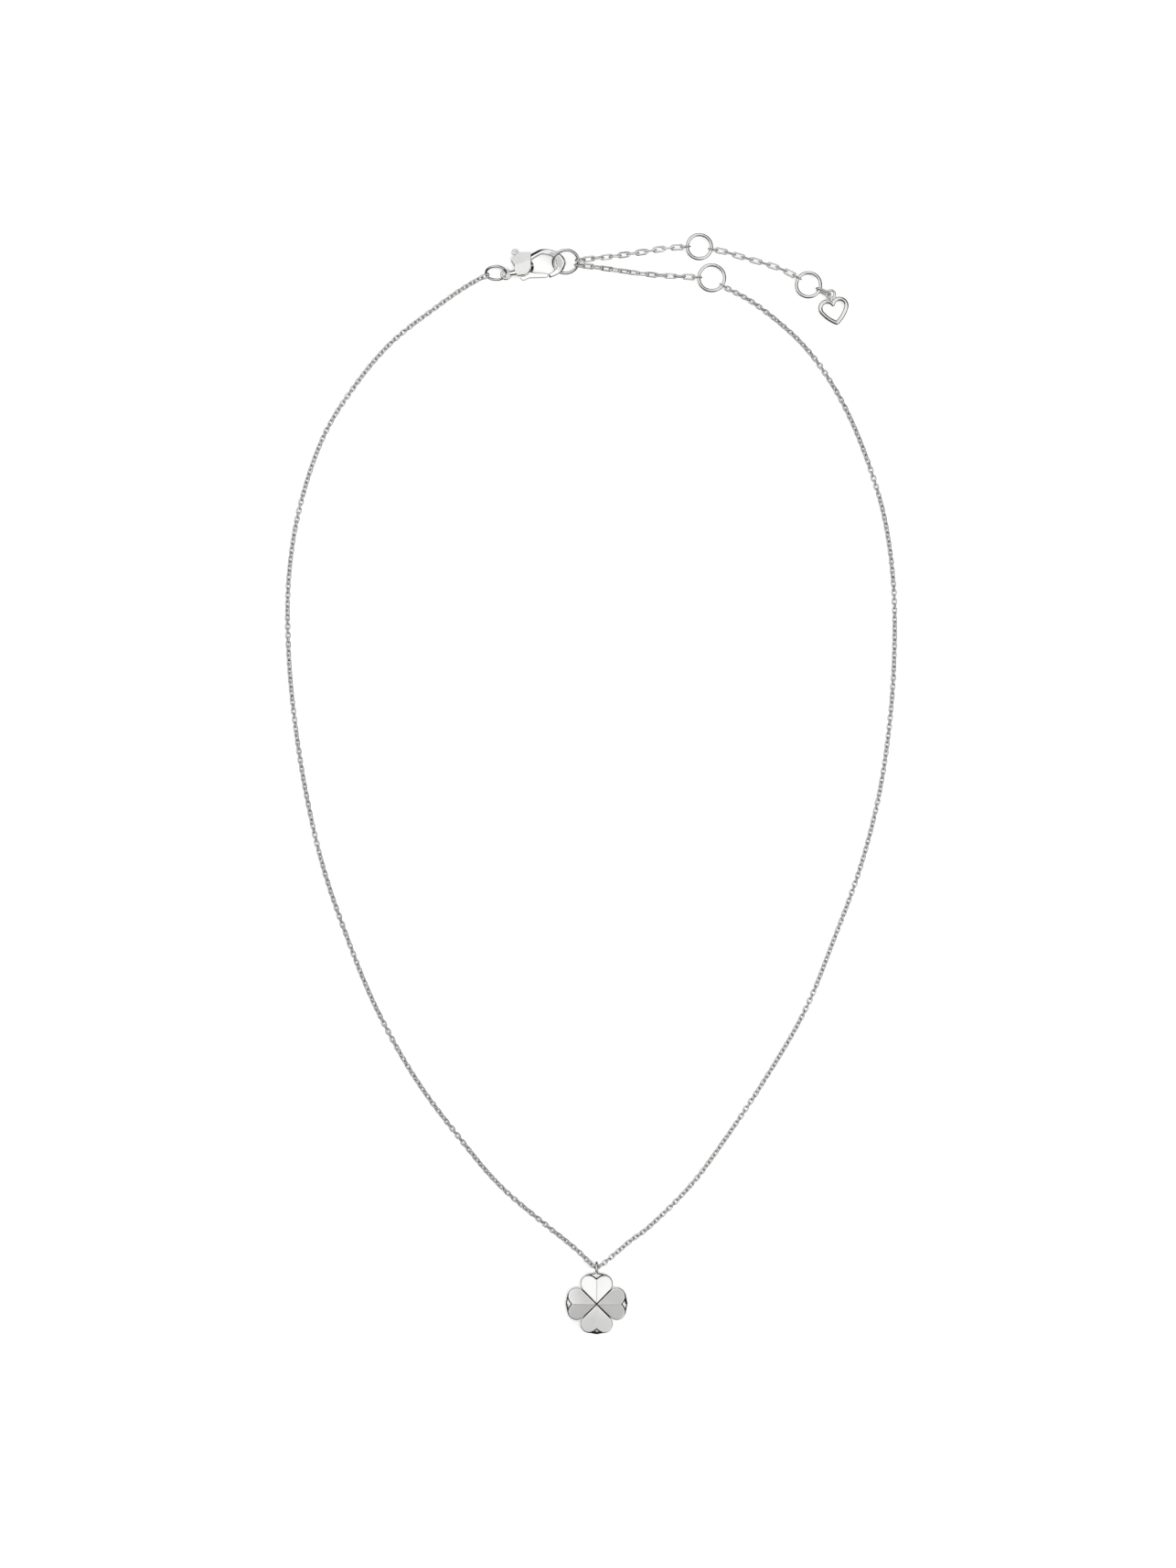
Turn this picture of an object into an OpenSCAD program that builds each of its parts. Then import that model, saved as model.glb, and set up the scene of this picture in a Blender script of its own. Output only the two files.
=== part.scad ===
/* [Flower] */
// Width of the flower over the tips of two opposite petals
flower_w = 10.4; // [9.8:0.1:11]
// Thickness of the flower, front crease to back crease
flower_t = 3.2; // [2.8:0.1:3.6]
// Radius of a petal's round lobe
lobe_r = 1.45; // [1.3:0.05:1.5]
// Width of the dark gap between two petals
petal_gap = 0.2; // [0.12:0.02:0.3]
// Angle at which a petal's two facets fall away from their crease
facet_fall = 7; // [3:0.5:10]
// Angle at which the front creases fall from the middle outwards
crease_fall = 3; // [0:0.5:5]
// Outer diameter of the bail ring
bail_d = 2.2; // [2:0.1:2.6]
// Thickness of the bail's wire
bail_wire = 0.42; // [0.36:0.02:0.46]

/* [Fine chain] */
// Outer diameter of the fine cable chain
chain_d = 0.85; // [0.7:0.05:0.9]
// Length of the larger link at each end of the fine chain
end_link_l = 1.6; // [1.55:0.05:1.7]
// Width of that link
end_link_w = 1.2; // [1.18:0.01:1.22]
// Thickness of that link's wire
end_link_wire = 0.22; // [0.18:0.01:0.22]

/* [Clasp] */
// Thickness of the clasp over its two cheeks
clasp_t = 2.6; // [2.6:0.1:2.8]
// Thickness of the lever
lever_t = 1; // [0.8:0.05:1.1]
// Radius of the lever's hub
hub_r = 1.45; // [1.2:0.05:1.5]
// Radius of the thumb knob
knob_r = 0.55; // [0.4:0.05:0.6]
// Radius of the pin
pin_r = 0.3; // [0.2:0.02:0.36]
// Outer diameter of the ring that joins the chain to the clasp
clasp_ring_d = 3.8; // [3.7:0.05:3.9]
// Thickness of that ring's wire
clasp_ring_wire = 0.42; // [0.36:0.02:0.44]

/* [Extender] */
// Outer diameters of the four rings, from the fine chain to the charm
ring_d = [4.87, 4.7, 4.6, 4.6];
// Thickness of the four rings' wires
ring_wire = [0.56, 0.49, 0.56, 0.56];
// Length of a link
link_l = 2.28; // [2.26:0.01:2.3]
// Width of a link
link_w = 1.04; // [1.04:0.01:1.06]
// Thickness of the wire of all the extender's links
link_wire = 0.26; // [0.23:0.01:0.26]
// Length of the link that holds on to a ring
hold_l = 1.9; // [1.85:0.05:2]
// Width of that link
hold_w = 1.28; // [1.26:0.01:1.3]

/* [Charm] */
// Radius of the heart's lobes, at the middle of the rim
heart_lobe_r = 1.14; // [1.08:0.02:1.18]
// Width of the heart's round rim
rim_d = 0.7; // [0.6:0.05:0.75]
// Outer diameter of the heart's eye
eye_d = 1.75; // [1.7:0.05:1.85]
// Thickness of the eye's wire
eye_wire = 0.42; // [0.34:0.02:0.44]
// Thickness of the oblong ring's wire
charm_wire = 0.38; // [0.3:0.02:0.38]

/* [Hidden] */
$fn = 48;
silver = [0.86, 0.86, 0.85];
bright = [0.93, 0.93, 0.92];

// Where the flower's middle lies, and the clasp's frame and turn
flower_at = [0.9, -86.75, flower_t / 2];
clasp_at = [-11.6, 86.65, clasp_t / 2];
clasp_turn = 11;

// Rings: middle, then turn about Z, then tilt of the +Y side upwards
clasp_ring_at = [-15.9, 85.3, 1.6];
clasp_ring_pose = [0, 55];
ring_at = [[20.15, 84.6, 0.65], [-4.25, 87.23, 1.31], [18.08, 89.8, 0.66], [36.32, 83.42, 0.76]];
ring_pose = [[0, 0], [10, 30], [0, 0], [-115, 3.3]];

// Angle on its ring at which each link holds on
left_hold = 200;
right_hold = -35;
first_hold = [178, -28];
second_hold = [-3, 180];
third_hold = [-12, 260];

// Route of the fine chain's left half, from the bail to its end link
left_route = [[0.84, -80.67, 1.5], [0.45, -80.6, 1.5], [-0.4, -79.85, 1.35], [-2.1, -78.2, 0.9],
    [-4.5, -76.2, 0.52], [-7.3, -74, 0.44], [-14.4, -68, 0.43], [-19.8, -62, 0.43], [-28.9, -50, 0.43],
    [-35.7, -38, 0.43], [-40.7, -26, 0.43], [-44.8, -14, 0.43], [-47.6, -2, 0.43],
    [-49.5, 10, 0.43], [-50.6, 22, 0.43], [-50.6, 34, 0.43], [-48.8, 46, 0.43],
    [-44.8, 58, 0.43], [-39.2, 67, 0.43], [-33.2, 74, 0.43], [-25.5, 80, 0.43],
    [-21.2, 83, 0.48], [-18.85, 84.35, 0.78]];

// Route of its right half, from the bail to its end link
right_route = [[0.96, -80.67, 1.5], [1.35, -80.6, 1.5], [2.35, -79.9, 1.35], [4.2, -78.4, 0.9],
    [6.6, -76.4, 0.52], [9.8, -74, 0.44], [15.9, -68, 0.43], [20.6, -62, 0.43], [28.7, -50, 0.43],
    [35.7, -38, 0.43], [40.6, -26, 0.43], [45, -14, 0.43], [48.1, -2, 0.43],
    [49.9, 10, 0.43], [50.7, 22, 0.43], [50.5, 34, 0.43], [48.7, 46, 0.43],
    [44.7, 58, 0.43], [40.2, 67, 0.43], [34.9, 74, 0.43], [27.8, 80, 0.43],
    [23.1, 82.65, 0.52]];

// Free stretches of the extender's three chains, between the rings
first_route = [[14.8, 84.85, 0.56], [11.4, 85.05, 0.52], [8.2, 85.35, 0.52], [5.6, 85.7, 0.52],
    [2.6, 86.15, 0.55], [-0.2, 86.5, 0.68]];
second_route = [[-0.1, 87.75, 1.08], [1.9, 88, 0.86], [4, 88.25, 0.66], [6.4, 88.6, 0.54],
    [9, 89, 0.52], [11.4, 89.4, 0.52], [13.6, 89.65, 0.56]];
third_route = [[22.2, 89, 0.56], [24.4, 88.35, 0.52], [26.8, 87.65, 0.52], [29.2, 86.95, 0.52],
    [31.2, 86.3, 0.54], [32.9, 85.55, 0.6]];

// Clearances: between a link and a ring, between two links, of a part that turns, and of the
// pin in the cheeks
slack = 0.1;
ease = 0.17;
running = 0.05;
pin_fit = 0.03;

// The direction of a vector, and its turn and rise in degrees
function unit(v) = v / norm(v);
function turn_of(d) = atan2(d.y, d.x);
function rise_of(d) = atan2(d.z, norm([d.x, d.y]));

// The roll about direction d that brings a link's hole onto the wire direction n
function side_of(d) = [-sin(turn_of(d)), cos(turn_of(d)), 0];
function roll_of(d, n) = atan2(-n * side_of(d), n * cross(unit(d), side_of(d)));

// A vector turned about X by tilt and then about Z by turn, as pose = [turn, tilt] says
function posed(v, pose) =
    let (y = v.y * cos(pose[1]) - v.z * sin(pose[1]), z = v.y * sin(pose[1]) + v.z * cos(pose[1]))
    [v.x * cos(pose[0]) - y * sin(pose[0]), v.x * sin(pose[0]) + y * cos(pose[0]), z];

// The point at angle a on the middle of a ring's wire, and the wire's direction there
function on_ring(at, r, pose, a) = at + posed([r * cos(a), r * sin(a), 0], pose);
function along_ring(pose, a) = posed([-sin(a), cos(a), 0], pose);

// A smooth curve through hand-chosen points: cubic stretches whose slope at each point
// is half the step between its two neighbours
function slope_at(p, i) = (p[min(i + 1, len(p) - 1)] - p[max(i - 1, 0)]) / 2;
function on_curve(p, i, t) =
    (2 * t * t * t - 3 * t * t + 1) * p[i] + (t * t * t - 2 * t * t + t) * slope_at(p, i)
    + (3 * t * t - 2 * t * t * t) * p[i + 1] + (t * t * t - t * t) * slope_at(p, i + 1);
function curve(p, steps) =
    [for (i = [0:len(p) - 2], s = [0:steps - 1]) on_curve(p, i, s / steps), p[len(p) - 1]];

// Length along a polyline up to each of its points, and the point at length s
function lengths(c, i = 0, sum = 0, out = []) =
    i >= len(c) ? out : lengths(c, i + 1, i + 1 < len(c) ? sum + norm(c[i + 1] - c[i]) : sum,
        concat(out, [sum]));
function piece_at(ls, s, i = 0) = i >= len(ls) - 2 || s < ls[i + 1] ? i : piece_at(ls, s, i + 1);
function point_at(c, ls, s) =
    let (i = piece_at(ls, s)) c[i] + (c[i + 1] - c[i]) * (s - ls[i]) / (ls[i + 1] - ls[i]);

// A round tube of d across that runs along the points c with flat ends
module tube(c, d, sides) {
    last = len(c) - 1;
    ways = [for (i = [0:last]) unit(c[min(i + 1, last)] - c[max(i - 1, 0)])];
    skin = [for (i = [0:last], k = [0:sides - 1])
        let (a = (k + 0.5) * 360 / sides, u = side_of(ways[i]), v = cross(ways[i], u))
        c[i] + d / 2 / cos(180 / sides) * (u * cos(a) + v * sin(a))];
    walls = [for (i = [0:last - 1], k = [0:sides - 1])
        let (n = (k + 1) % sides)
        [i * sides + k, (i + 1) * sides + k, (i + 1) * sides + n, i * sides + n]];
    polyhedron(skin, concat(walls, [[for (k = [0:sides - 1]) k],
        [for (k = [sides - 1:-1:0]) last * sides + k]]));
}

// A round ring of outer diameter d in the XY plane
module ring(d, wire) {
    rotate_extrude()
        translate([(d - wire) / 2, 0]) circle(d = wire, $fn = 24);
}

// A ring at its place, turned and tilted
module placed_ring(at, d, wire, pose) {
    translate(at) rotate([0, 0, pose[0]]) rotate([pose[1], 0, 0]) ring(d, wire);
}

// An oblong link of length l along X and width w along Y
module link(l, w, wire) {
    straight = l - w;
    for (s = [-1, 1]) {
        translate([s * straight / 2, 0, 0]) rotate([0, 0, -s * 90])
            rotate_extrude(angle = 180) translate([(w - wire) / 2, 0]) circle(d = wire, $fn = 16);
        translate([-straight / 2, s * (w - wire) / 2, 0]) rotate([0, 90, 0])
            cylinder(h = straight, d = wire, $fn = 16);
    }
}

// A link whose middle is at p, lying along d, with its hole turned to the angle roll
module placed_link(p, d, roll, l, w, wire) {
    translate(p) rotate([0, 0, turn_of(d)]) rotate([0, -rise_of(d), 0]) rotate([roll, 0, 0])
        link(l, w, wire);
}

// A link that holds a ring's wire at p, where n is the wire's direction, and points along d
module holding_link(p, d, n, l, w, wire, held) {
    placed_link(p + unit(d) * (l / 2 - wire - held / 2 - slack), d, roll_of(d, n), l, w, wire);
}

// One half of a petal's outline, on the side where Y is above 0, with its point at the middle.
// The edge runs at 45 degrees, then round the lobe, then straight down to the notch.
lobe_y = flower_w * 0.115;
lobe_x = lobe_y + sqrt(2) * (lobe_r + petal_gap / 2);
notch_x = flower_w * 0.413;
module half_petal(r) {
    to_lobe = [lobe_x - notch_x, lobe_y];
    notch_dir = atan2(to_lobe.y, to_lobe.x) - asin(r / norm(to_lobe)) - 90;
    middle = [lobe_x, lobe_y];
    start = lobe_x - lobe_y - sqrt(2) * r;
    intersection() {
        square(flower_w);
        union() {
            translate(middle) circle(r);
            polygon([[start, 0], middle + r * [-1, 1] / sqrt(2), middle,
                middle + r * [cos(notch_dir), sin(notch_dir)], [notch_x, 0]]);
        }
    }
}

// A half petal as a solid whose upper face falls away from the crease, from height h
module petal_facet(h, out) {
    intersection() {
        linear_extrude(height = flower_t) half_petal(lobe_r);
        translate([0, 0, h]) rotate([-facet_fall, out, 0]) translate([-1, -flower_w / 2, -flower_t])
            cube([flower_w, flower_w, flower_t]);
    }
}

// The core between the front and back petals, a little inside their lobes. It stands out
// behind each notch and slopes back to a blunt rim.
core_h = 0.75;
core_in = 0.12;
core_rim = 0.24;
core_slope = 1.25;
core_bar = 2.8 * lobe_y;
notch_web = [flower_w * 0.58, 4 * petal_gap];
module core() {
    sides = 16;
    overlap = 0.001;
    slope_r = flower_w / 2;
    top_scale = (slope_r - core_h * core_slope) / slope_r;
    intersection() {
        linear_extrude(height = 2 * core_h, center = true)
            for (a = [0:90:270]) rotate(a) {
                for (m = [0, 1]) mirror([0, m]) half_petal(lobe_r - core_in);
                square([2 * slope_r, core_bar], center = true);
                rotate(45) square(notch_web, center = true);
            }
        union() {
            linear_extrude(height = core_rim, center = true) circle(slope_r, $fn = sides);
            for (m = [0, 1]) mirror([0, 0, m]) translate([0, 0, core_rim / 2 - overlap])
                linear_extrude(height = core_h, scale = top_scale) circle(slope_r, $fn = sides);
        }
    }
}

// The petals stand a little way into the core, and the bail ring in the top petal
petal_foot = core_h - 0.1;
bail_in = 0.35;
module flower_pendant() {
    color(bright) translate(flower_at) {
        core();
        for (a = [0:90:270], m = [0, 1]) rotate(a) mirror([0, m, 0]) {
            translate([0, 0, petal_foot]) petal_facet(flower_t / 2 - petal_foot, crease_fall);
            mirror([0, 0, 1]) translate([0, 0, petal_foot])
                petal_facet(flower_t / 2 - petal_foot, 0);
        }
        translate([0, flower_w / 2 + bail_d / 2 - bail_in, 0]) rotate([0, 90, 0])
            ring(bail_d, bail_wire);
    }
}

module chain_left() { color(silver) tube(curve(left_route, 2), chain_d, 8); }

module chain_right() { color(silver) tube(curve(right_route, 2), chain_d, 8); }

module end_link_left() {
    hold = on_ring(clasp_ring_at, (clasp_ring_d - clasp_ring_wire) / 2, clasp_ring_pose, left_hold);
    way = left_route[len(left_route) - 1] - hold;
    color(silver) holding_link(hold, way, along_ring(clasp_ring_pose, left_hold),
        end_link_l, end_link_w, end_link_wire, clasp_ring_wire);
}

module end_link_right() {
    hold = on_ring(ring_at[0], (ring_d[0] - ring_wire[0]) / 2, ring_pose[0], right_hold);
    way = right_route[len(right_route) - 1] - hold;
    color(silver) holding_link(hold, way, along_ring(ring_pose[0], right_hold),
        end_link_l, end_link_w, end_link_wire, ring_wire[0]);
}

module clasp_ring() {
    color(bright) placed_ring(clasp_ring_at, clasp_ring_d, clasp_ring_wire, clasp_ring_pose);
}

// The clasp is drawn with its tail at -X and its hook's nose at +X, half way up its thickness
pin_at = [0.5, -0.4];
module clasp_frame() { translate(clasp_at) rotate([0, 0, clasp_turn]) children(); }

// Corners of a cheek, and the ridge that its two facets fall from
cheek = [[-1.55, 1.25], [-0.05, 1.95], [1.8, 1.6], [1.65, 0.5], [1.35, -0.65], [0.75, -1.45],
    [0.2, -1.65], [-0.9, -1.55], [-1.3, -1.05], [-1.2, 0.1]];
ridge_at = [-1.1, 0.1];
ridge_turn = 8;
cheek_fall = 5;

// The hook, from the cheeks over the nose to its tip: x, y, width, thickness
hook = [[1.5, 0.85, 0.9, 1.5], [2.5, 1.25, 0.85, 1.3], [3.7, 1.52, 0.85, 1.05], [5.1, 1.1, 1, 0.72],
    [6.15, 0.25, 1.2, 0.62], [6.52, -0.85, 1.62, 0.6], [6.04, -1.9, 1, 0.62],
    [5.1, -2.4, 0.78, 0.8], [4.3, -2.6, 0.68, 0.9], [3.7, -2.72, 0.6, 0.9]];

// The hook as one skin of flat-sided oval sections
module hook_arm() {
    sides = 12;
    steps = 3;
    rows = [for (i = [0:len(hook) - 2], s = [0:steps - 1]) on_curve(hook, i, s / steps),
        hook[len(hook) - 1]];
    last = len(rows) - 1;
    skin = [for (i = [0:last], k = [0:sides - 1])
        let (step = rows[min(i + 1, last)] - rows[max(i - 1, 0)], way = unit([step.x, step.y]),
            a = (k + 0.5) * 360 / sides)
        [rows[i].x - way.y * rows[i][2] / 2 * cos(a), rows[i].y + way.x * rows[i][2] / 2 * cos(a),
            rows[i][3] / 2 * sin(a)]];
    walls = [for (i = [0:last - 1], k = [0:sides - 1])
        let (n = (k + 1) % sides)
        [i * sides + k, (i + 1) * sides + k, (i + 1) * sides + n, i * sides + n]];
    polyhedron(skin, concat(walls, [[for (k = [0:sides - 1]) k],
        [for (k = [sides - 1:-1:0]) last * sides + k]]));
}

// A wedge of a disc about the pin, given as its first angle, last angle and radius
module pin_wedge(room) {
    steps = 6;
    translate(pin_at) polygon(concat([[0, 0]], [for (i = [0:steps])
        let (a = room[0] + (room[1] - room[0]) * i / steps) room[2] * [cos(a), sin(a)]]));
}

// Where the lever turns between the cheeks: round the hub, behind the knob and at the gate
lever_room = lever_t + 2 * running;
knob_room = [97, 155, 3];
gate_room = [215, 380, 2.6];
mouth_at = [2, -4];
mouth = [4, 2.2];
gate_r = 4.1;
tail_block_at = [-2.15, -1.45];
tail_block = [1.2, 0.9, 0.9];
tail_eye_at = [-2.9, -1.03];
tail_eye_d = 1.85;
tail_eye_wire = 0.45;
module clasp_body() {
    color(bright) clasp_frame() difference() {
        union() {
            difference() {
                linear_extrude(height = clasp_t, center = true) polygon(cheek);
                for (up = [0, 1], m = [0, 1]) mirror([0, 0, up]) translate(ridge_at)
                    rotate([0, 0, ridge_turn]) mirror([0, m, 0]) translate([-1, 0, clasp_t / 2])
                        rotate([-cheek_fall, 0, 0]) translate([-2, 0, 0]) cube(8);
            }
            hook_arm();
            translate(concat(tail_block_at, [-tail_block.z / 2])) cube(tail_block);
            translate(tail_eye_at) ring(tail_eye_d, tail_eye_wire);
        }
        linear_extrude(height = lever_room, center = true) {
            translate(pin_at) circle(hub_r + 2 * running);
            pin_wedge(knob_room);
            pin_wedge(gate_room);
        }
        intersection() {
            translate(pin_at) cylinder(h = clasp_t, r = gate_r + slack, center = true);
            translate(concat(mouth_at, [-clasp_t / 2])) cube(concat(mouth, [clasp_t]));
        }
        translate(pin_at) cylinder(h = 2 * clasp_t, r = pin_r + pin_fit, center = true);
    }
}

// The lever is a hub, a knob on its arm, and a gate bar with a round end
knob_at = [-0.67, 2.33];
knob_arm = [[-0.4, 0.2], [-1.02, 2.2], [-0.32, 2.4], [0.4, 0.6]];
gate_bar = [[-0.6, -0.9], [-0.6, -2.2], [-0.35, -2.58], [-0.05, -2.6], [0.8, -2.38], [4.6, -2.99],
    [4.6, -2.33], [1.65, -1.64], [1.2, -0.9]];
module clasp_lever() {
    color(silver) clasp_frame() difference() {
        union() {
            translate(pin_at) cylinder(h = lever_t, r = hub_r, center = true);
            translate(knob_at) cylinder(h = lever_t, r = knob_r, center = true);
            linear_extrude(height = lever_t, center = true) polygon(knob_arm);
            intersection() {
                linear_extrude(height = lever_t, center = true) polygon(gate_bar);
                translate(pin_at) cylinder(h = 2 * lever_t, r = gate_r, center = true);
            }
        }
        translate(pin_at) cylinder(h = 2 * lever_t, r = pin_r + running, center = true);
    }
}

// The pin's heads lie a little below the cheeks' ridges
pin_head_in = 0.15;
module clasp_pin() {
    color(silver) clasp_frame() translate(pin_at)
        cylinder(h = clasp_t - 2 * pin_head_in, r = pin_r, center = true);
}

module extender_ring(i) {
    color(bright) placed_ring(ring_at[i], ring_d[i], ring_wire[i], ring_pose[i]);
}

// A run of links from ring a to ring b along a free route. The links at both ends hold the
// rings. Each link is turned a little more than a quarter against the one before it, so that
// the run's two ends meet their rings' wires. An end link points at the route's point that
// lies aim away from its ring.
aim = 1.2;
module extender_chain(route, a, b, holds) {
    p0 = on_ring(ring_at[a], (ring_d[a] - ring_wire[a]) / 2, ring_pose[a], holds[0]);
    p1 = on_ring(ring_at[b], (ring_d[b] - ring_wire[b]) / 2, ring_pose[b], holds[1]);
    c = curve(concat([p0], route, [p1]), 8);
    ls = lengths(c);
    reach = [for (r = [a, b]) hold_l / 2 - link_wire - ring_wire[r] / 2 - slack];
    first_step = (hold_l + link_l) / 2 - 2 * link_wire - ease;
    free = ls[len(ls) - 1] - reach[0] - reach[1] - 2 * first_step;
    count = ceil(free / (link_l - 2 * link_wire - ease));
    pitch = free / count;
    ways = [for (s = [[0, 1], [1, -1]]) let (e = ls[len(ls) - 1] * s[0])
        s[1] * (point_at(c, ls, e + s[1] * aim) - (s[0] == 0 ? p0 : p1))];
    roll0 = roll_of(ways[0], along_ring(ring_pose[a], holds[0]));
    roll1 = roll_of(ways[1], along_ring(ring_pose[b], holds[1]));
    turns = (count + 2) * 90;
    extra = (roll1 - roll0 - turns) - 180 * round((roll1 - roll0 - turns) / 180);
    color(silver) {
        placed_link(p0 + unit(ways[0]) * reach[0], ways[0], roll0, hold_l, hold_w, link_wire);
        for (i = [0:count]) {
            s = reach[0] + first_step + i * pitch;
            way = point_at(c, ls, s + link_l / 4) - point_at(c, ls, s - link_l / 4);
            placed_link(point_at(c, ls, s), way, roll0 + (turns + extra) * (i + 1) / (count + 2),
                link_l, link_w, link_wire);
        }
        placed_link(p1 - unit(ways[1]) * reach[1], ways[1], roll1, hold_l, hold_w, link_wire);
    }
}

// The oblong ring stands on its long edge, with one end in the last ring and one in the heart's eye
charm_link_at = [38.8, 82.25, 0.86];
charm_link_pose = [-25, 78];
charm_link_size = [2.95, 1.75];
module charm_link() {
    color(silver) translate(charm_link_at) rotate([0, 0, charm_link_pose[0]])
        rotate([charm_link_pose[1], 0, 0]) link(charm_link_size.x, charm_link_size.y, charm_wire);
}

// The heart is drawn with its point at the origin and its eye up the Y axis. Each side of the
// rim is a long arc from the point, then a short arc over the lobe into the notch. The two arcs
// meet where their centres and their joint are in line. A ball a little wider than the rim, turned
// so that its edges cross the rim's, fills the point and the notch.
heart_at = [41.2, 76.62, rim_d / 2 - 0.015];
heart_turn = 12.5;
heart_lift = 4.2;
heart_lobe = [1.06, 3.2];
heart_point = [0, 0.48];
side_r = 6;
eye_at = 5.35;
ball_d = rim_d + 0.03;
ball_turn = [0, 35, 10];
notch_y = heart_lobe.y + sqrt(heart_lobe_r * heart_lobe_r - heart_lobe.x * heart_lobe.x);
function heart_side(lobe_steps, side_steps) =
    let (to_point = heart_point - heart_lobe, span = side_r - heart_lobe_r,
        along = (side_r * side_r - to_point * to_point - span * span) / (2 * span),
        joint = atan2(to_point.y, to_point.x) + acos(along / norm(to_point)),
        middle = heart_lobe - span * [cos(joint), sin(joint)],
        last = atan2(heart_point.y - middle.y, heart_point.x - middle.x),
        first = 180 - acos(heart_lobe.x / heart_lobe_r))
    concat([for (i = [0:lobe_steps - 1]) let (a = first + (joint - first) * i / lobe_steps)
            concat(heart_lobe + heart_lobe_r * [cos(a), sin(a)], [0])],
        [for (i = [0:side_steps]) let (a = joint + (last - joint) * i / side_steps)
            concat(middle + side_r * [cos(a), sin(a)], [0])]);

module heart_charm() {
    color(bright) translate(heart_at) rotate([heart_lift, 0, heart_turn]) {
        for (m = [0, 1]) mirror([m, 0, 0]) tube(heart_side(12, 6), rim_d, 12);
        for (y = [heart_point.y, notch_y]) translate([0, y, 0]) rotate(ball_turn)
            sphere(d = ball_d);
        translate([0, notch_y, 0]) rotate([-90, 0, 0])
            cylinder(h = eye_at - (eye_d - eye_wire) / 2 - notch_y, d = eye_wire);
        translate([0, eye_at, 0]) ring(eye_d, eye_wire);
    }
}

flower_pendant();
chain_left();
chain_right();
end_link_left();
end_link_right();
clasp_ring();
clasp_body();
clasp_lever();
clasp_pin();
extender_ring(0);  // ring_first
extender_ring(1);  // ring_second
extender_ring(2);  // ring_third
extender_ring(3);  // ring_last
extender_chain(first_route, 0, 1, first_hold);  // extender_first
extender_chain(second_route, 1, 2, second_hold);  // extender_second
extender_chain(third_route, 2, 3, third_hold);  // extender_third
charm_link();
heart_charm();
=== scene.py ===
"""Flower pendant necklace lying on a pale surface, seen from straight above."""

import bpy
import numpy as np
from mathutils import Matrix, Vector


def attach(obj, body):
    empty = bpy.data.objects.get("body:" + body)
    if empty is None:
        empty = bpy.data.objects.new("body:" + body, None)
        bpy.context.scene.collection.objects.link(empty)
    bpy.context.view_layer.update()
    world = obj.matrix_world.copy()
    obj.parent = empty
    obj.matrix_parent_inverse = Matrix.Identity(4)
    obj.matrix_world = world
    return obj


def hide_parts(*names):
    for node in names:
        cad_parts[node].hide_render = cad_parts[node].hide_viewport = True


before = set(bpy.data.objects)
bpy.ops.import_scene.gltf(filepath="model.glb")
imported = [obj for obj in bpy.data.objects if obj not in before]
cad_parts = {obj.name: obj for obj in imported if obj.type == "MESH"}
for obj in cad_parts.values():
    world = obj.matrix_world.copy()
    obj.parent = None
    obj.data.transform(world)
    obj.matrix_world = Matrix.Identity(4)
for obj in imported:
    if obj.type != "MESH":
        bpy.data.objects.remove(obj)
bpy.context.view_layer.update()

# The surface and the studio. A white table under soft light from above and from the right, and
# round it a dark room in which a pale dome, a few soft boxes and dark cards stand for metal to
# mirror. Metal mirrors the room's own glow from below, and not the table.
MM = 0.001
UP = np.array([0, 0, 1.0])
LENS_HEIGHT = 0.8
SENSOR = 36
# The photo, in its own pixels: its height, its middle and the place of the frame's origin.
PHOTO_HIGH = 1715
PHOTO_MIDDLE = (643, 857.5)
ORIGIN_PIXEL = (646.5, 857.3)
MM_PER_PIXEL = 0.153
TABLE_HALF = 1.5
# The pale wall in metres: the radius of its foot, its lowest point, the radius and the height of
# its upright part, and the radius of the bend between them.
WALL_FOOT = 1.4
WALL_LOW = -0.002
WALL_FAR = 2.7
WALL_TOP = 4
WALL_BEND = 0.5
ROOM_LIGHT = 0.03
# What metal mirrors, each laid over the ones before it: a name, the way to its middle, its inner
# and outer radius in degrees, and its light. Cards are dark.
PATCHES = [
    ("table_glow", (0, 0, -1), 40, 56, 0.85),
    ("dome", (0, 0, 1), 68, 80, 0.95),
    ("card_front", (-0.41, -0.9, 0.12), 46, 55, 0.02),
    ("card_right", (0.84, 0.52, 0.12), 42, 51, 0.02),
    ("grey_front", (0, -0.37, 0.93), 10, 15, 0.54),
    ("grey_left", (-0.24, -0.21, 0.95), 6, 10, 0.66),
    ("grey_right", (0.24, -0.21, 0.95), 6, 10, 0.7),
    ("grey_back", (-0.06, 0.28, 0.96), 4, 8, 0.8),
    ("grey_up", (0.12, 0.15, 0.98), 6, 9, 0.58),
    ("grey_corner", (-0.05, 0.13, 0.99), 3, 7, 0.68),
    ("box_back", (-0.03, 0.42, 0.91), 5, 8, 1.15),
    ("box_left", (-0.27, 0, 0.96), 6, 12, 1.1),
    ("box_right", (0.27, -0.04, 0.96), 5, 9, 1.1),
]


def new_nodes(tree):
    """Empties a node tree and gives a function that adds a node and sets its values."""
    tree.nodes.clear()

    def add(kind, **values):
        node = tree.nodes.new(kind)
        for key, value in values.items():
            setattr(node, key, value)
        return node

    return add


def ramp_stops(node, stops):
    """Sets the stops of a colour ramp from pairs of position and colour."""
    line = node.color_ramp
    while len(line.elements) > 1:
        line.elements.remove(line.elements[-1])
    for i, (at, colour) in enumerate(stops):
        stop = line.elements[0] if i == 0 else line.elements.new(at)
        stop.position = at
        stop.color = colour


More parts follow.
